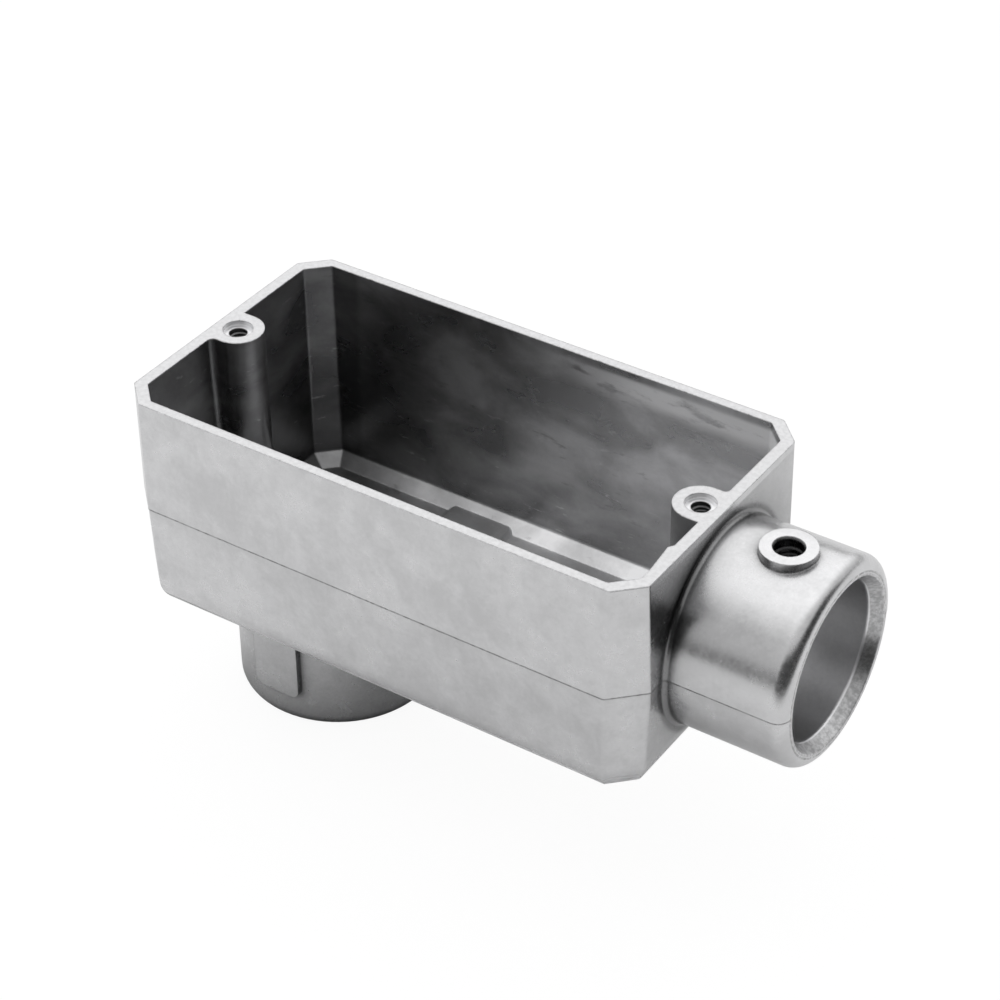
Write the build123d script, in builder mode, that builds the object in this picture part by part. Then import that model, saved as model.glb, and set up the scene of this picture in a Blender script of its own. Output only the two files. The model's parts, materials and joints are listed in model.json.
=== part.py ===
from build123d import *
import os

os.makedirs("parts", exist_ok=True)

# A right-angle conduit body for thin-walled tube: one aluminium die casting, open on top.
# The origin is the centre of the open cover rim. +X points out of the end hub,
# +Z points out of the cover opening, and the back hub points down.
# All sizes are in millimetres.

# Chamber, outside
rim_length = 109.4
rim_width = 58.8
rim_corner = 4.8
body_depth = 46.9
wall_flare = 0.5
bottom_draw_in = 0.85
parting_step = 0.12
hub_parting_step = 0.2
bottom_round = 7.0
corner_round = 0.8

# Chamber, inside
end_wall = 2.3
side_wall = 1.9
floor_thickness = 2.2
inner_corner = 4.0
inner_draft = 1.0
floor_chamfer_reach = 2.6
floor_chamfer_height = 2.3

# Hubs: the bore takes 29.5 mm tube up to a stop, and a throat opens into the chamber.
# The end hub's axis lies a little above the chamber's half depth.
bore_radius = 15.0
hub_wall = 4.75
hub_axis_rise = 0.25
end_hub_reach = 23.6
back_hub_reach = 24.4
back_hub_inset = 25.3
bore_depth = 20.6
throat_radius = 13.3
mouth_radius = 16.4
lead_in_depth = 2.4
mouth_round = 2.6
root_round = 0.8
root_chamfer = 0.5

# Flat pad on the near side of the back hub
pad_width = 10.0
pad_proud = 0.85
pad_foot = 7.2
pad_corner = 1.8

# Set-screw bosses
set_boss_radius = 5.2
set_boss_proud = 1.3
set_boss_setback = 11.0
set_screw_minor_radius = 2.6
set_screw_sink_radius = 2.95

# Cover-screw bosses
screw_inset = 4.7
screw_boss_radius = 5.0
screw_boss_blend = 1.2
short_boss_blend = 0.9
screw_minor_radius = 1.75
screw_sink_radius = 2.85
screw_sink_depth = 0.9
deep_screw_hole = 16.0
short_screw_hole = 7.6
short_boss_height = 12.0

# Thin wedge left on the end wall's inner side, at the rim
wedge_near = -20.7
wedge_far = -13.8
wedge_end = 1.1
wedge_proud = 0.7
wedge_depth = 1.4
wedge_slope = 20.0

# Low pad on the chamber floor beside the back opening
floor_pad_x = -12.2
floor_pad_length = 13.3
floor_pad_near = 11.0
floor_pad_far = 25.0
floor_pad_height = 0.9
floor_pad_corner = 2.0

# A 45 degree corner cut gets shorter by this share of any inward offset of the outline
corner_shrink = 2 - 2**0.5

# Places that follow from the sizes above
parting_z = hub_axis_rise - body_depth / 2
floor_z = floor_thickness - body_depth
hub_radius = bore_radius + hub_wall
end_face_x = rim_length / 2 + end_hub_reach
back_axis_x = back_hub_inset - rim_length / 2
back_face_z = -body_depth - back_hub_reach
screw_x = rim_length / 2 - screw_inset
parting_length = rim_length + 2 * wall_flare
parting_width = rim_width + 2 * wall_flare
parting_corner = rim_corner + 2 * wall_flare

# Each mouth plane lies on a hub's face and points out of the hub
end_mouth = Plane(origin=(end_face_x, 0, parting_z), x_dir=(0, 1, 0), z_dir=(1, 0, 0))
back_mouth = Plane(origin=(back_axis_x, 0, back_face_z), x_dir=(1, 0, 0), z_dir=(0, 0, -1))


def set_screw_plane(mouth, direction):
    """The level of a set-screw boss's top, square to the given direction from the hub's axis."""
    foot = mouth.origin - mouth.z_dir * set_boss_setback
    return Plane(origin=foot, x_dir=mouth.z_dir, z_dir=direction).offset(hub_radius + set_boss_proud)


end_screw_plane = set_screw_plane(end_mouth, (0, 0, 1))
back_screw_plane = set_screw_plane(back_mouth, (-1, 0, 0))


def cut_corner_outline(height, length, width, corner):
    """A rectangle with its four corners cut and every vertex rounded, on a level plane."""
    with BuildSketch(Plane.XY.offset(height)) as outline:
        Rectangle(length, width)
        chamfer(outline.vertices(), corner)
        fillet(outline.vertices(), corner_round)
    return outline.sketch


def half_section(mouth):
    """The plane through a hub's axis: x runs outward from the axis, y runs out of the mouth."""
    return Plane(origin=mouth.origin, x_dir=mouth.x_dir, z_dir=-mouth.y_dir)


def barrel_section(mouth, radius, root):
    """One side of a hub's barrel with its round shoulder, from the mouth back to the root."""
    with BuildSketch(half_section(mouth)) as section:
        with BuildLine():
            Line((0, 0), (radius - mouth_round, 0))
            RadiusArc((radius - mouth_round, 0), (radius, -mouth_round), mouth_round)
            Polyline((radius, -mouth_round), (radius, -root), (0, -root), (0, 0))
        make_face()
    return section.sketch


def bore_section(mouth, reach):
    """One side of a hub's bore: lead-in, bore, stop and throat."""
    with BuildSketch(half_section(mouth)) as section:
        with BuildLine():
            Polyline(
                (0, 0),
                (mouth_radius, 0),
                (bore_radius, -lead_in_depth),
                (bore_radius, -bore_depth),
                (throat_radius, -bore_depth),
                (throat_radius, -reach),
                (0, -reach),
                close=True,
            )
        make_face()
    return section.sketch


def screw_boss_outline(side):
    """A half-round column that grows out of an end wall. Side is 1 or -1 along X."""
    wall_x = side * rim_length / 2
    nose_x = side * (screw_x - screw_boss_radius)
    with BuildSketch() as outline:
        with BuildLine():
            Line((wall_x, screw_boss_radius), (side * screw_x, screw_boss_radius))
            ThreePointArc(
                (side * screw_x, screw_boss_radius),
                (nose_x, 0),
                (side * screw_x, -screw_boss_radius),
            )
            Line((side * screw_x, -screw_boss_radius), (wall_x, -screw_boss_radius))
            Line((wall_x, -screw_boss_radius), (wall_x, screw_boss_radius))
        make_face()
    return outline.sketch


def bottom_waste(view, width):
    """What the two bottom rounds of a view cut away from the chamber's outline."""
    with BuildSketch(view) as outline:
        Polygon(
            (-width / 2, parting_z),
            (width / 2, parting_z),
            (width / 2 - bottom_draw_in, -body_depth),
            (bottom_draw_in - width / 2, -body_depth),
            align=None,
        )
        fillet(outline.vertices().group_by(Axis.Y)[0], bottom_round)
        flat_end, wall_end = outline.vertices().filter_by(lambda v: v.X > 0).sort_by(Axis.Y)[:2]
    with BuildSketch(view.offset(-rim_length)) as waste:
        with Locations((0, wall_end.Y)):
            Rectangle(width + 2 * bottom_round, 2 * bottom_round, align=(Align.CENTER, Align.MAX))
        add(outline.sketch_local, mode=Mode.SUBTRACT)
        with Locations((0, -body_depth)):
            Rectangle(2 * flat_end.X, bottom_round * 2, align=(Align.CENTER, Align.MAX), mode=Mode.SUBTRACT)
    return waste.sketch


def upright_edges(part):
    """The edges that climb, and so lie in no level plane."""
    return part.edges().filter_by(lambda edge: abs((edge % 0.5).Z) > 0.5)


def root_edges(part, axis, low, high):
    """The curved edges that the last operation left between two levels along an axis."""
    return part.edges(Select.LAST).filter_by(GeomType.LINE, reverse=True).filter_by_position(axis, low, high)


# The chamber's hollow, with the screw columns and the floor pad left standing in it
with BuildPart() as hollow:
    slope_z = floor_z + floor_chamfer_height
    inner_length = rim_length - 2 * end_wall
    inner_width = rim_width - 2 * side_wall
    low_length = inner_length - 2 * inner_draft
    low_width = inner_width - 2 * inner_draft
    floor_length = low_length - 2 * floor_chamfer_reach
    floor_width = low_width - 2 * floor_chamfer_reach
    floor_corner = inner_corner - corner_shrink * floor_chamfer_reach
    rim_outline = cut_corner_outline(0, inner_length, inner_width, inner_corner)
    slope_outline = cut_corner_outline(slope_z, low_length, low_width, inner_corner)
    floor_outline = cut_corner_outline(floor_z, floor_length, floor_width, floor_corner)
    loft([rim_outline, slope_outline], ruled=True)
    loft([slope_outline, floor_outline], ruled=True)
    add(screw_boss_outline(-1))
    extrude(amount=-body_depth, mode=Mode.SUBTRACT)
    add(screw_boss_outline(1))
    extrude(amount=-short_boss_height, mode=Mode.SUBTRACT)
    column_foot = upright_edges(hollow).filter_by_position(Axis.Y, -screw_boss_radius, -screw_boss_radius)
    fillet(column_foot.sort_by(Axis.X)[0], screw_boss_blend)
    boss_foot = upright_edges(hollow).filter_by_position(Axis.Y, screw_boss_radius, screw_boss_radius)
    fillet(boss_foot.sort_by(Axis.X)[-1], short_boss_blend)
    with BuildSketch():
        Polygon(
            (inner_length / 2, wedge_near),
            (inner_length / 2 - wedge_proud, wedge_far),
            (inner_length / 2, wedge_far + wedge_end),
            (rim_length / 2, wedge_far + wedge_end),
            (rim_length / 2, wedge_near),
            align=None,
        )
    extrude(amount=-wedge_depth, taper=-wedge_slope, mode=Mode.SUBTRACT)
    with BuildSketch(Plane.XY.offset(floor_z)):
        with Locations((floor_pad_x, (floor_pad_near + floor_pad_far) / 2)):
            RectangleRounded(
                floor_pad_length + 2 * floor_pad_height,
                floor_pad_far - floor_pad_near + 2 * floor_pad_height,
                floor_pad_corner,
            )
    extrude(amount=floor_pad_height, taper=45, mode=Mode.SUBTRACT)

# Above the parting plane: the walls widen downward, and the end hub shows its upper half
with BuildPart() as upper_half:
    loft(
        [
            cut_corner_outline(0, rim_length, rim_width, rim_corner),
            cut_corner_outline(parting_z, parting_length, parting_width, parting_corner),
        ],
        ruled=True,
    )
    add(barrel_section(end_mouth, hub_radius, end_hub_reach + end_wall))
    revolve(axis=Axis(end_mouth.origin, end_mouth.z_dir), revolution_arc=180)
    fillet(root_edges(upper_half, Axis.X, 0, parting_length / 2), root_round)
    with BuildSketch(end_screw_plane):
        Circle(set_boss_radius)
    extrude(amount=-set_boss_proud - hub_wall / 2)

# Below it: the walls draw in, turn into the bottom with a large round, and carry the back hub
with BuildPart() as lower_half:
    step_length = parting_length - 2 * parting_step
    step_width = parting_width - 2 * parting_step
    bottom_length = step_length - 2 * bottom_draw_in
    bottom_width = step_width - 2 * bottom_draw_in
    bottom_corner = parting_corner - corner_shrink * bottom_draw_in
    corner_span = (step_length + step_width - 2 * parting_corner) / 2**0.5
    loft(
        [
            cut_corner_outline(parting_z, step_length, step_width, parting_corner),
            cut_corner_outline(-body_depth, bottom_length, bottom_width, bottom_corner),
        ],
        ruled=True,
    )
    right_view = Plane(origin=(0, 0, 0), x_dir=(1, 1, 0), z_dir=(1, -1, 0))
    left_view = Plane(origin=(0, 0, 0), x_dir=(1, -1, 0), z_dir=(-1, -1, 0))
    for view, width in (
        (right_view, corner_span),
        (left_view, corner_span),
        (Plane.XZ, step_length),
        (Plane.YZ, step_width),
    ):
        extrude(bottom_waste(view, width), amount=2 * rim_length, mode=Mode.SUBTRACT)
    add(barrel_section(end_mouth, hub_radius - hub_parting_step, end_hub_reach + bottom_round))
    revolve(axis=Axis(end_mouth.origin, -end_mouth.z_dir), revolution_arc=180)
    fillet(root_edges(lower_half, Axis.X, 0, parting_length / 2), root_round)
    add(barrel_section(back_mouth, hub_radius, back_hub_reach + floor_thickness))
    revolve(axis=Axis(back_mouth.origin, back_mouth.z_dir))
    chamfer(root_edges(lower_half, Axis.Z, -body_depth, parting_z), root_chamfer)
    pad_height = back_hub_reach + floor_thickness - pad_foot
    pad_origin = (back_axis_x, -hub_radius - pad_proud, back_face_z + pad_foot)
    with BuildSketch(Plane(origin=pad_origin, x_dir=(1, 0, 0), z_dir=(0, -1, 0))) as pad:
        Rectangle(pad_width, pad_height, align=(Align.CENTER, Align.MIN))
        fillet(pad.vertices().group_by(Axis.Y)[0], pad_corner)
    extrude(amount=-pad_proud - hub_wall / 2)
    with BuildSketch(back_screw_plane):
        Circle(set_boss_radius)
    extrude(amount=-set_boss_proud - hub_wall / 2)

with BuildPart() as conduit_body:
    add(upper_half.part)
    add(lower_half.part)
    add(hollow.part, mode=Mode.SUBTRACT)

    # The end hub's throat also cuts through the short screw boss behind the wall
    end_throat = end_hub_reach + screw_inset + screw_boss_radius + inner_draft
    back_throat = back_hub_reach + floor_thickness + floor_pad_height
    for mouth, reach in ((end_mouth, end_throat), (back_mouth, back_throat)):
        add(bore_section(mouth, reach))
        revolve(axis=Axis(mouth.origin, mouth.z_dir), mode=Mode.SUBTRACT)

    # Tapped holes for the set screws
    with Locations(end_screw_plane, back_screw_plane):
        CounterSinkHole(set_screw_minor_radius, set_screw_sink_radius, depth=set_boss_proud + hub_wall + 1)

    # Tapped holes for the cover screws
    for side, hole_depth in ((-1, deep_screw_hole), (1, short_screw_hole)):
        with Locations((side * screw_x, 0, 0)):
            CounterBoreHole(screw_minor_radius, screw_sink_radius, screw_sink_depth, depth=hole_depth)

conduit_body.part.label = "conduit_body"
export_step(conduit_body.part, "parts/conduit_body.step")
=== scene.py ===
import json
import math
from types import SimpleNamespace

import bmesh
import bpy
from mathutils import Matrix, Vector


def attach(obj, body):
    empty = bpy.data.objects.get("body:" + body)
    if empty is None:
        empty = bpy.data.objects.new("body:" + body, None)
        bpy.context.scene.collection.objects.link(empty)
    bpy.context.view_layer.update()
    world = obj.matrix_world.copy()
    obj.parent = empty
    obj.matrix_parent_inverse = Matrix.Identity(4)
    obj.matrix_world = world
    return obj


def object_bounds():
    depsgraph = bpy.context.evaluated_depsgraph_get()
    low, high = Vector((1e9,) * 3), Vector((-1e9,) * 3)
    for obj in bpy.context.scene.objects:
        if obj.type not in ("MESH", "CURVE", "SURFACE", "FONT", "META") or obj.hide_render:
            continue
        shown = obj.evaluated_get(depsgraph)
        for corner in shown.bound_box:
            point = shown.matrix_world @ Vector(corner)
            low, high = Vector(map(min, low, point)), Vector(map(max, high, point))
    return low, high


# A die-cast aluminium conduit body on a pale floor in a soft white studio.
# The frame's origin is the centre of the cover rim, +X points out of the end hub,
# and the back hub points down. Lengths in the casting's material are in millimetres,
# and all others in metres.

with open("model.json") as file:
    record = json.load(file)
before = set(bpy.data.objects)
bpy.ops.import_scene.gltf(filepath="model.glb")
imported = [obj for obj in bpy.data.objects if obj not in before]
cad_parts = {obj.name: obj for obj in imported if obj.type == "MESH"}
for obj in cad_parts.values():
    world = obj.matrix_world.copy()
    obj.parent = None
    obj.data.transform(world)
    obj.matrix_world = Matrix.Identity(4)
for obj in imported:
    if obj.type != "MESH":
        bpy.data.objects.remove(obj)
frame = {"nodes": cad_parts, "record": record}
bpy.context.view_layer.update()
cad_low, cad_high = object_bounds()

MM = 0.001
BODY = "root"
NODE = "conduit_body"

# Places read from the frame, in millimetres
mounts = {mount["name"]: mount for mount in frame["record"]["mounts"]}
hub_axis_z = mounts["end_hub"]["pos_m"][2] / MM
back_axis_x = mounts["back_hub"]["pos_m"][0] / MM
screw_x = mounts["cover_screws"]["dims"]["spacing_x_mm"] / 2
set_screw_x = mounts["end_set_screw"]["pos_m"][0] / MM
set_screw_z = mounts["back_set_screw"]["pos_m"][2] / MM

# The middle of the chamber's and the hubs' walls, to tell inside from outside
MID_WALL_X = 53.4
MID_WALL_Y = 28.4
MID_WALL_CORNER = 77.6
MID_FLOOR_Z = -45.8
MID_HUB_RADIUS = 16.75

# The machined rim, and the recesses of the cover screws
RIM_LOW, RIM_HIGH = -0.25, -0.05
RECESS_RADIUS = 3.3
RECESS_BOTTOM = -1.05

# The chamber's floor, the short screw boss, and the side of the screw column
FLOOR_Z = -42.2
SHORT_BOSS_X = 41.3
SHORT_BOSS_SIDE = 6.0
SHORT_BOSS_FOOT = -13.25
COLUMN_X = -42.5

# The hubs: lead-ins, the ring on each mouth's face, the end hub's root, set-screw holes
LEAD_IN_X = 75.9
LEAD_IN_Z = -68.9
MOUTH_RING = 17.1
RING_SETBACK = 1.8
HUB_ROOT_RADIUS = 20.2
HUB_ROOT_START, HUB_ROOT_END = 54.2, 56.3
SET_HOLE_RADIUS = 2.9
END_HOLE_FLOOR = -9.0
BACK_HOLE_FLOOR = -44.0

# The band of painted light under the far rim
LIT_BAND_SIDE = 20.0
LIT_BAND_TOP = -1.6
LIT_BAND_FOOT = -6.25

# Half the parting line's width
PARTING_GAP = 0.25

# How far the casting's painted shade looks for crevices, and how far its edges are softened
PAINTED_SHADE_REACH = 22.0
PAINTED_SHADE_RAYS = 4
SOFT_EDGE = 0.45
SOFT_EDGE_RAYS = 4

# Tones of painted shade, oxide, dark rings, painted highlight and rubbed metal, cut metal and
# painted light
PARTING_SHADE = 0.08
HOLE_SHADE = 0.16
ROOT_SHADE = 0.20
OXIDE = 0.22
RING_TONE = 0.30
RUBBED_AND_HIGHLIGHT = 0.90
RECESS_METAL = 0.92
BARE_METAL = 0.95
LIT_BAND_TONE = 0.98


class Graph:
    """A node tree built by short calls. Most calls return the node's first output."""

    def __init__(self, owner):
        owner.use_nodes = True
        self.tree = owner.node_tree
        self.tree.nodes.clear()

    def node(self, kind, inputs=None, **settings):
        made = self.tree.nodes.new(kind)
        for name, value in settings.items():
            setattr(made, name, value)
        for key, value in (inputs or {}).items():
            if isinstance(value, bpy.types.NodeSocket):
                self.tree.links.new(value, made.inputs[key])
            else:
                made.inputs[key].default_value = value
        return made

    def math(self, operation, *values):
        inputs = dict(enumerate(values))
        return self.node("ShaderNodeMath", inputs, operation=operation).outputs[0]

    def chain(self, operation, *values):
        """One operation over any number of values."""
        result = values[0]
        for value in values[1:]:
            result = self.math(operation, result, value)
        return result

    def plus(self, *values):
        return self.chain("ADD", *values)

    def times(self, *values):
        return self.chain("MULTIPLY", *values)

    def either(self, *values):
        return self.chain("MAXIMUM", *values)

    def without(self, value):
        return self.math("SUBTRACT", 1.0, value)

    def vector(self, operation, *values):
        inputs = dict(enumerate(values))
        return self.node("ShaderNodeVectorMath", inputs, operation=operation)

    def radius(self, first, second):
        """How far a point lies from an axis, from its two offsets."""
        squares = self.plus(self.times(first, first), self.times(second, second))
        return self.math("POWER", squares, 0.5)

    def ramp(self, value, low, high, out_low=0.0, out_high=1.0):
        """A smooth step of value from low to high."""
        inputs = {
            "Value": value,
            "From Min": low,
            "From Max": high,
            "To Min": out_low,
            "To Max": out_high,
        }
        made = self.node("ShaderNodeMapRange", inputs, interpolation_type="SMOOTHSTEP")
        return made.outputs[0]

    def above(self, value, level, blur):
        """1 above the level, 0 below it."""
        return self.ramp(value, level - blur, level + blur)

    def below(self, value, level, blur):
        """1 below the level, 0 above it."""
        return self.ramp(value, level + blur, level - blur)

    def near(self, value, centre, far, close):
        """1 within close of the centre, 0 beyond far."""
        gap = self.math("ABSOLUTE", self.math("SUBTRACT", value, centre))
        return self.ramp(gap, far, close)

    def noise(self, place, scale, detail, roughness, distortion=0.0):
        inputs = {
            "Vector": place,
            "Scale": scale,
            "Detail": detail,
            "Roughness": roughness,
            "Distortion": distortion,
        }
        return self.node("ShaderNodeTexNoise", inputs).outputs["Fac"]

    def mix(self, factor, low, high):
        """low where factor is 0, high where it is 1."""
        inputs = {"Factor": factor, "A": low, "B": high}
        return self.node("ShaderNodeMix", inputs, data_type="FLOAT").outputs[0]

    def grey(self, tone, blue=None):
        """A colour from one tone, or from one for red and green and one for blue."""
        inputs = {"Red": tone, "Green": tone, "Blue": tone if blue is None else blue}
        return self.node("ShaderNodeCombineColor", inputs).outputs[0]

    def toward(self, direction, way):
        """How far a direction points the given way."""
        return self.vector("DOT_PRODUCT", direction, way).outputs["Value"]


def find_places(g, place):
    """Masks that are 1 on one area of the casting and 0 elsewhere."""
    axes = g.node("ShaderNodeSeparateXYZ", {0: place})
    x, y, z = (axes.outputs[i] for i in range(3))
    side_x = g.math("ABSOLUTE", x)
    side_y = g.math("ABSOLUTE", y)

    # Chamber, bores and rim
    chamber = g.times(
        g.math("LESS_THAN", side_x, MID_WALL_X),
        g.math("LESS_THAN", side_y, MID_WALL_Y),
        g.math("LESS_THAN", g.plus(side_x, side_y), MID_WALL_CORNER),
        g.math("GREATER_THAN", z, MID_FLOOR_Z),
    )
    drop = g.math("SUBTRACT", z, hub_axis_z)
    end_radius = g.radius(y, drop)
    end_bore = g.times(
        g.math("LESS_THAN", end_radius, MID_HUB_RADIUS),
        g.math("GREATER_THAN", x, MID_WALL_X),
    )
    back_radius = g.radius(y, g.math("SUBTRACT", x, back_axis_x))
    back_bore = g.times(
        g.math("LESS_THAN", back_radius, MID_HUB_RADIUS),
        g.math("LESS_THAN", z, MID_FLOOR_Z),
    )
    bores = g.either(end_bore, back_bore)
    rim = g.ramp(z, RIM_LOW, RIM_HIGH)
    inside = g.times(chamber, g.without(rim))

    # The parting line, uneven along its length, with a painted shadow under its step
    uneven = g.times(g.noise(place, 0.9, 2.0, 0.55), 0.12)
    parting = g.plus(g.math("ABSOLUTE", drop), uneven)
    parting = g.below(parting, PARTING_GAP, 0.09)
    parting = g.times(parting, g.without(g.either(inside, bores)))

    # The rough lead-in at each mouth
    lead_in = g.either(
        g.times(end_bore, g.above(x, LEAD_IN_X, 0.1)),
        g.times(back_bore, g.below(z, LEAD_IN_Z, 0.1)),
    )

    # The tapped set-screw holes, darkened with painted shade
    from_end_hole = g.radius(y, g.math("SUBTRACT", x, set_screw_x))
    from_back_hole = g.radius(y, g.math("SUBTRACT", z, set_screw_z))
    hole = g.either(
        g.times(
            g.below(from_end_hole, SET_HOLE_RADIUS, 0.1),
            g.math("GREATER_THAN", z, END_HOLE_FLOOR),
        ),
        g.times(
            g.below(from_back_hole, SET_HOLE_RADIUS, 0.1),
            g.math("LESS_THAN", x, BACK_HOLE_FLOOR),
        ),
    )

    # A painted highlight where each bore begins, and a dark ring round each mouth's face
    lip_highlight = g.either(
        g.times(end_bore, g.near(x, LEAD_IN_X, 0.40, 0.15)),
        g.times(back_bore, g.near(z, LEAD_IN_Z, 0.40, 0.15)),
    )
    ring = g.either(
        g.times(
            g.near(end_radius, MOUTH_RING, 0.30, 0.10),
            g.above(x, LEAD_IN_X + RING_SETBACK, 0.2),
        ),
        g.times(
            g.near(back_radius, MOUTH_RING, 0.30, 0.10),
            g.below(z, LEAD_IN_Z - RING_SETBACK, 0.2),
        ),
    )

    # The spot-faced recess round each cover screw
    from_screw = g.radius(y, g.math("SUBTRACT", side_x, screw_x))
    recess = g.times(
        g.math("LESS_THAN", from_screw, RECESS_RADIUS),
        g.above(z, RECESS_BOTTOM, 0.05),
        g.without(rim),
    )

    # The end hub's root, darkened with painted shade
    root = g.times(
        g.near(end_radius, HUB_ROOT_RADIUS, 1.8, 0.6),
        g.below(x, HUB_ROOT_END, 0.7),
        g.above(x, HUB_ROOT_START, 0.2),
    )

    # The chamber's floor, the short screw boss, and the end wall with the screw column
    floor = g.below(z, FLOOR_Z, 0.4)
    short_boss = g.times(
        g.above(x, SHORT_BOSS_X, 0.7),
        g.below(side_y, SHORT_BOSS_SIDE, 0.6),
        g.above(z, SHORT_BOSS_FOOT, 0.75),
    )
    past_column = g.above(x, COLUMN_X, 1.0)

    return SimpleNamespace(
        x=x, y=y, z=z, inside=inside, bores=bores, rim=rim, parting=parting, lead_in=lead_in,
        hole=hole, lip_highlight=lip_highlight, ring=ring, recess=recess, root=root, floor=floor,
        short_boss=short_boss, past_column=past_column,
    )


def find_textures(g, place, at):
    """Mottling at four sizes, the marks of flow and wear on the inner walls, and a band of painted
    light under the far rim.
    """
    clouds = g.noise(place, 0.05, 4.0, 0.6, 0.5)
    blotches = g.noise(place, 0.22, 5.0, 0.62, 0.3)
    grain = g.noise(place, 1.2, 4.0, 0.65)
    speckle = g.noise(place, 4.5, 2.0, 0.5)
    mottle = g.plus(g.times(clouds, 0.4), g.times(blotches, 0.38), g.times(grain, 0.22))

    flow_place = g.vector("MULTIPLY", place, (0.55, 0.55, 1.0)).outputs[0]
    flow = g.noise(flow_place, 0.11, 4.0, 0.5, 0.4)
    streak_place = g.vector("MULTIPLY", place, (0.3, 0.3, 1.0)).outputs[0]
    marks = g.ramp(g.noise(streak_place, 0.55, 5.0, 0.62), 0.60, 0.74)
    scuffs = g.ramp(g.noise(streak_place, 0.8, 4.0, 0.6), 0.63, 0.74)

    # Painted light on a band under the far rim, stronger towards the end hub
    lit_band = g.times(
        g.ramp(at.x, -5.0, 30.0),
        g.above(at.y, LIT_BAND_SIDE, 2.0),
        g.below(at.z, LIT_BAND_TOP, 0.6),
        g.above(at.z, LIT_BAND_FOOT, 1.75),
        g.ramp(g.noise(streak_place, 0.35, 5.0, 0.65), 0.32, 0.50),
    )
    return SimpleNamespace(
        clouds=clouds, blotches=blotches, grain=grain, speckle=speckle, mottle=mottle,
        flow=flow, marks=marks, scuffs=scuffs, lit_band=lit_band,
    )


def inner_tone(g, at, skin):
    """The inner walls, with painted shade and light: darker towards the back hub and the floor,
    with a lighter floor.
    """
    tone = g.plus(g.times(skin.flow, 0.7), g.times(skin.mottle, 0.3))
    tone = g.ramp(tone, 0.36, 0.66, 0.43, 0.76)
    # Painted shade and light: darker towards the back hub and low down, lighter towards the end hub
    # and on the floor
    side_light = g.ramp(g.plus(at.x, g.times(skin.clouds, 30.0)), -30.0, 40.0, 0.84, 1.06)
    depth = g.ramp(at.z, -41.0, -14.0, 0.50, 1.0)
    floor_lift = g.ramp(at.x, -48.0, -15.0, 1.5, 2.8)
    tone = g.times(tone, side_light, depth, g.mix(at.floor, 1.0, floor_lift))
    tone = g.math("MINIMUM", tone, BARE_METAL)
    # Painted shade on the left end wall; the short screw boss is darker too
    end_wall = g.mix(at.past_column, 0.68, 1.0)
    tone = g.times(tone, g.mix(at.short_boss, 1.0, 0.42), g.mix(at.floor, end_wall, 1.0))
    tone = g.mix(g.times(skin.marks, 0.5), tone, OXIDE)
    tone = g.mix(g.times(skin.scuffs, 0.35), tone, RUBBED_AND_HIGHLIGHT)
    # Painted light: the band under the far rim is made lighter
    return g.mix(skin.lit_band, tone, LIT_BAND_TONE)


def surface_tone(g, at, skin):
    """The tone of the bare surface, before crevices and edges."""
    grain = skin.grain
    tone = g.mix(at.inside, g.ramp(skin.mottle, 0.36, 0.64, 0.60, 0.74), inner_tone(g, at, skin))
    tone = g.mix(at.bores, tone, g.ramp(skin.mottle, 0.35, 0.65, 0.62, 0.74))
    tone = g.mix(at.lead_in, tone, g.ramp(grain, 0.35, 0.65, 0.40, 0.62))
    tone = g.mix(at.rim, tone, g.ramp(grain, 0.3, 0.7, 0.57, 0.66))
    # Painted shadow along the parting line
    tone = g.mix(g.times(at.parting, g.ramp(grain, 0.35, 0.60, 0.80, 0.45)), tone, PARTING_SHADE)
    # Painted shade inside the set-screw holes
    tone = g.mix(at.hole, tone, HOLE_SHADE)
    # Painted shade in the crease at the end hub's root
    tone = g.mix(g.times(at.root, 0.7), tone, ROOT_SHADE)
    # A dark ring round each mouth's face
    tone = g.mix(g.times(at.ring, g.ramp(grain, 0.35, 0.6)), tone, RING_TONE)
    # Painted highlight on the lip where each bore begins
    return g.mix(g.times(at.lip_highlight, 0.8), tone, BARE_METAL)


def roughness(g, at, skin):
    """Tumbled and glossy outside, duller inside, chalky on the lit band under the far rim."""
    inner = g.ramp(skin.flow, 0.35, 0.65, 0.27, 0.38)
    inner = g.mix(skin.lit_band, inner, 0.55)
    inner = g.mix(at.floor, inner, 0.38)
    rough = g.mix(at.inside, g.ramp(skin.mottle, 0.36, 0.64, 0.17, 0.29), inner)
    rough = g.mix(at.bores, rough, 0.34)
    rough = g.mix(at.lead_in, rough, 0.30)
    return g.mix(at.rim, rough, 0.32)


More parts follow.
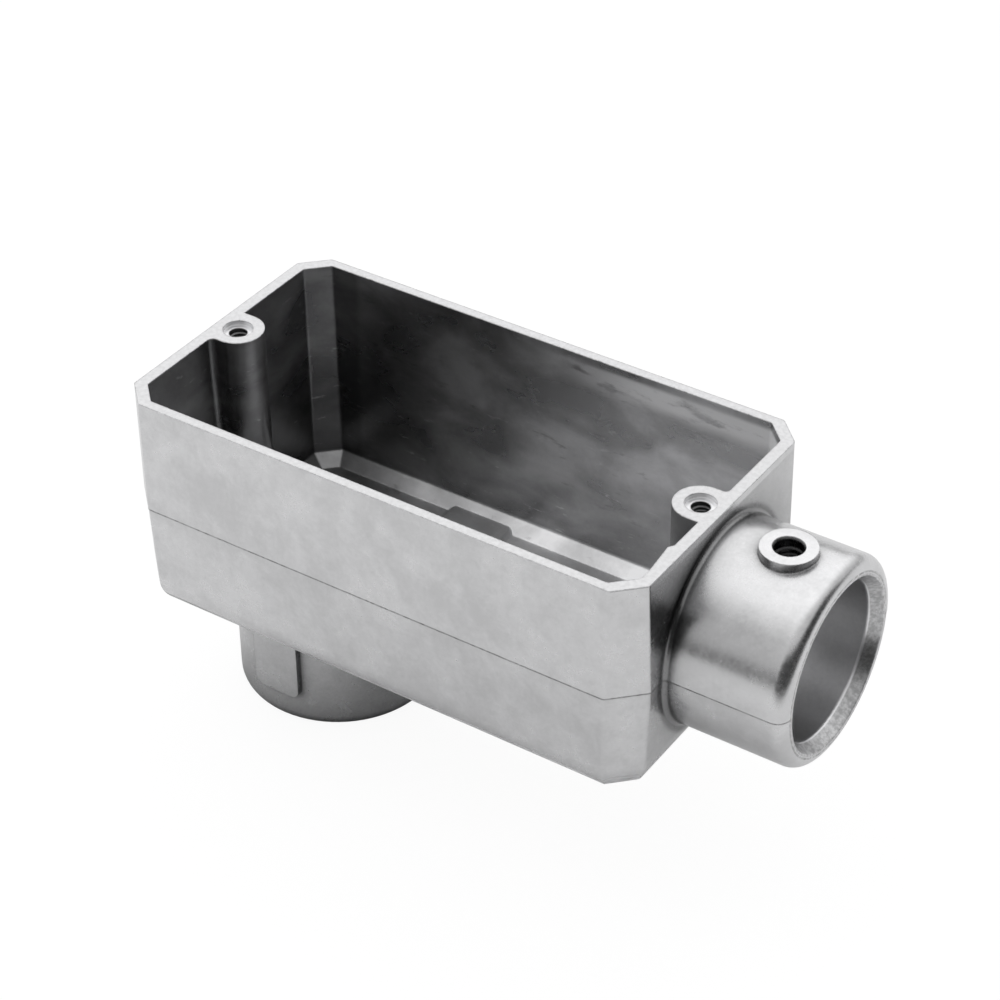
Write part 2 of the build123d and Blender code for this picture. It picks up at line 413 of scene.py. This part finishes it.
def casting_material(name):
    """Die-cast aluminium: tumbled outside, flowed inside and darker there, partly with painted
    shade, machined on the rim.
    """
    material = bpy.data.materials.new(name)
    g = Graph(material)
    coordinates = g.node("ShaderNodeTexCoord").outputs["Object"]
    scaled = {0: coordinates, "Scale": 1 / MM}
    place = g.node("ShaderNodeVectorMath", scaled, operation="SCALE").outputs[0]
    at = find_places(g, place)
    skin = find_textures(g, place, at)

    # Painted shade: the tone darkens where little open sky is seen, gently in sheltered places, not
    # on the chamber's floor
    reach = {"Distance": PAINTED_SHADE_REACH * MM}
    open_sky = g.node("ShaderNodeAmbientOcclusion", reach, samples=PAINTED_SHADE_RAYS).outputs["AO"]
    shade_outside = g.ramp(open_sky, 0.42, 0.93, 0.18, 1.0)
    shade_inside = g.mix(at.floor, g.ramp(open_sky, 0.10, 0.85, 0.62, 1.0), 1.0)
    sheltered = g.either(at.inside, at.bores, g.ramp(at.z, -1.6, -1.2))
    tone = g.times(surface_tone(g, at, skin), g.mix(sheltered, shade_outside, shade_inside))
    tone = g.mix(g.times(at.recess, 0.85), tone, RECESS_METAL)

    # Softened edges catch the light; in open places their tone is raised, a painted highlight that
    # is also rubbed wear
    bevel = g.node("ShaderNodeBevel", {"Radius": SOFT_EDGE * MM}, samples=SOFT_EDGE_RAYS).outputs[0]
    normal = g.node("ShaderNodeNewGeometry").outputs["Normal"]
    turn = g.vector("SUBTRACT", bevel, normal).outputs[0]
    edge = g.vector("LENGTH", turn).outputs["Value"]
    edge_highlight = g.times(
        g.ramp(edge, 0.1, 0.6),
        g.ramp(skin.grain, 0.38, 0.62),
        g.ramp(open_sky, 0.5, 0.9),
    )
    tone = g.mix(g.times(edge_highlight, 0.5), tone, RUBBED_AND_HIGHLIGHT)

    # Small chips along the rim's edges
    chips = g.times(
        g.ramp(g.noise(place, 0.75, 3.0, 0.6), 0.58, 0.66),
        g.ramp(edge, 0.12, 0.4),
        g.ramp(at.z, -1.2, -0.4),
    )
    tone = g.mix(g.times(chips, 0.75), tone, OXIDE)

    # Low waves and grain, rough lead-ins, and a groove along the parting line
    height = g.plus(
        g.times(skin.blotches, g.mix(at.inside, 0.6, 0.14)),
        g.times(skin.grain, 0.12),
        g.times(skin.speckle, 0.03),
        g.times(at.lead_in, skin.grain, 0.5),
    )
    height = g.math("SUBTRACT", height, g.times(at.parting, 0.3))
    relief = {"Strength": 0.4, "Distance": 0.12 * MM, "Height": height, "Normal": bevel}

    surface = {
        "Base Color": g.grey(tone, g.times(tone, 1.012)),
        "Metallic": g.without(g.times(skin.lit_band, at.inside, 0.9)),
        "Roughness": roughness(g, at, skin),
        "Normal": g.node("ShaderNodeBump", relief).outputs[0],
    }
    shader = g.node("ShaderNodeBsdfPrincipled", surface)
    g.node("ShaderNodeOutputMaterial", {"Surface": shader.outputs[0]})
    return material


casting = casting_material("cast_aluminium")
body = frame["nodes"][NODE]
body.data.materials.clear()
body.data.materials.append(casting)


def thread(name, mouth, axis, radius, height, pitch, length):
    """A helical ridge on a hole's wall.

    mouth is where it starts, and axis points out of the hole.
    """
    steps_per_turn = 28
    foot_rise = 0.05
    foot_half, crest_half = 0.42, 0.08
    least_fade = 0.02
    count = int(length / pitch * steps_per_turn)
    turn_axes = Vector(axis).to_track_quat("Z", "Y").to_matrix()
    mesh = bmesh.new()
    rings = []
    for step in range(count + 1):
        angle = 2 * math.pi * step / steps_per_turn
        depth = -pitch * step / steps_per_turn
        fade = min(1.0, step / steps_per_turn, (count - step) / steps_per_turn)
        foot = radius + foot_rise * pitch
        crest = radius - height * max(fade, least_fade)
        section = ((foot, foot_half), (crest, crest_half), (crest, -crest_half), (foot, -foot_half))
        ring = []
        for reach, along in section:
            point = (
                reach * math.cos(angle),
                reach * math.sin(angle),
                depth + along * pitch * fade,
            )
            ring.append(mesh.verts.new(Vector(mouth) + turn_axes @ Vector(point)))
        rings.append(ring)
    for ring, following in zip(rings, rings[1:]):
        for i in range(4):
            j = (i + 1) % 4
            mesh.faces.new((ring[i], ring[j], following[j], following[i]))
    mesh.faces.new(rings[0][::-1])
    mesh.faces.new(rings[-1])
    bmesh.ops.recalc_face_normals(mesh, faces=mesh.faces)
    data = bpy.data.meshes.new(name)
    mesh.to_mesh(data)
    mesh.free()
    data.materials.append(casting)
    piece = bpy.data.objects.new(name, data)
    bpy.context.scene.collection.objects.link(piece)
    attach(piece, BODY)


# Threads: number eight cover screws, quarter-inch set screws
COVER_PITCH, COVER_CREST = 0.79, 0.34
COVER_THREAD_TOP = -1.4
SET_PITCH, SET_CREST = 1.27, 0.5
SET_THREAD_INSET = 0.8
cover_hole = mounts["cover_screws"]["dims"]["hole_r_mm"]
for side, sign, length in (("left", -1, 13.0), ("right", 1, 6.0)):
    thread(
        f"cover_thread_{side}",
        (sign * screw_x * MM, 0, COVER_THREAD_TOP * MM),
        (0, 0, 1),
        cover_hole * MM,
        COVER_CREST * MM,
        COVER_PITCH * MM,
        length * MM,
    )
for name in ("end_set_screw", "back_set_screw"):
    mount = mounts[name]
    axis = Vector(mount["axis"])
    length = mount["dims"]["length_mm"] * MM
    thread(
        f"{name}_thread",
        Vector(mount["pos_m"]) + axis * (length / 2 - SET_THREAD_INSET * MM),
        axis,
        mount["dims"]["r_mm"] * MM,
        SET_CREST * MM,
        SET_PITCH * MM,
        length - 2 * SET_THREAD_INSET * MM,
    )

# The way the room darkens: past the end hub, to the camera's right
DARK_WAY = (0.83, -0.56, 0.0)
WHITE = (1, 1, 1, 1)

# The floor: a pale light table under the back hub
FLOOR_SIZE = 6.0
FLOOR_GAP = 0.0002
floor_data = bpy.data.meshes.new("floor")
floor_mesh = bmesh.new()
bmesh.ops.create_grid(floor_mesh, x_segments=1, y_segments=1, size=FLOOR_SIZE / 2)
floor_mesh.to_mesh(floor_data)
floor_mesh.free()
floor = bpy.data.objects.new("floor", floor_data)
floor.location = (0, 0, cad_low.z - FLOOR_GAP)
bpy.context.scene.collection.objects.link(floor)

floor_material = bpy.data.materials.new("pale_floor")
g = Graph(floor_material)
outward = g.toward(g.node("ShaderNodeTexCoord").outputs["Object"], DARK_WAY)
# Painted shade: past the end hub the floor turns dark, for the room's dark side in reflections; the
# camera sees mostly the white glow
floor_tone_and_shade = g.grey(g.ramp(outward, 0.22, 0.34, 0.92, 0.04))
lit = g.node("ShaderNodeBsdfDiffuse", {"Color": floor_tone_and_shade})
glow = g.node("ShaderNodeEmission", {"Color": WHITE, "Strength": 1.04})
seen = g.times(g.node("ShaderNodeLightPath").outputs["Is Camera Ray"], 0.9)
paper = g.node("ShaderNodeMixShader", {0: seen, 1: lit.outputs[0], 2: glow.outputs[0]})
g.node("ShaderNodeOutputMaterial", {"Surface": paper.outputs[0]})
floor_data.materials.append(floor_material)

# The room: bright above and to the left, with a dark horizon that rises beyond the end hub
LIGHT_WAY = (-0.42, 0.42, 0.80)
world = bpy.data.worlds.new("studio")
bpy.context.scene.world = world
g = Graph(world)
direction = g.node("ShaderNodeTexCoord").outputs["Generated"]
climb = g.node("ShaderNodeSeparateXYZ", {0: direction}).outputs["Z"]
toward_dark = g.toward(direction, DARK_WAY)
sky = g.ramp(g.toward(direction, LIGHT_WAY), 0.35, 0.85, 0.66, 1.28)
horizon = g.ramp(toward_dark, 0.10, 0.45, 0.30, 0.05)
horizon_top = g.ramp(toward_dark, 0.12, 0.50, 0.10, 0.55)
above = g.ramp(g.math("SUBTRACT", climb, horizon_top), -0.06, 0.06)
level = g.mix(above, horizon, sky)
background = g.node("ShaderNodeBackground", {"Color": WHITE, "Strength": level})
g.node("ShaderNodeOutputWorld", {"Surface": background.outputs[0]})

# The camera, at the photograph's viewing angle
CAMERA_PLACE = (0.24168, -0.34519, 0.29089)
CAMERA_AZIMUTH = math.radians(34.028)
CAMERA_ELEVATION = math.radians(36.392)
CAMERA_ROLL = math.radians(0.541)
FOCAL_PIXELS = 2864.56
IMAGE_PIXELS = 1000
SENSOR_WIDTH = 36.0
CLIP_NEAR, CLIP_FAR = 0.01, 20.0

camera_data = bpy.data.cameras.new("camera")
camera_data.sensor_width = SENSOR_WIDTH
camera_data.lens = FOCAL_PIXELS / IMAGE_PIXELS * SENSOR_WIDTH
camera_data.clip_start = CLIP_NEAR
camera_data.clip_end = CLIP_FAR
camera = bpy.data.objects.new("camera", camera_data)
bpy.context.scene.collection.objects.link(camera)
camera.rotation_mode = "QUATERNION"
camera.location = CAMERA_PLACE
ahead = Vector((
    -math.sin(CAMERA_AZIMUTH) * math.cos(CAMERA_ELEVATION),
    math.cos(CAMERA_AZIMUTH) * math.cos(CAMERA_ELEVATION),
    -math.sin(CAMERA_ELEVATION),
))
roll = Matrix.Rotation(CAMERA_ROLL, 3, ahead).to_quaternion()
camera.rotation_quaternion = roll @ ahead.to_track_quat("-Z", "Y")
bpy.context.scene.camera = camera
bpy.context.scene.view_settings.view_transform = "Standard"
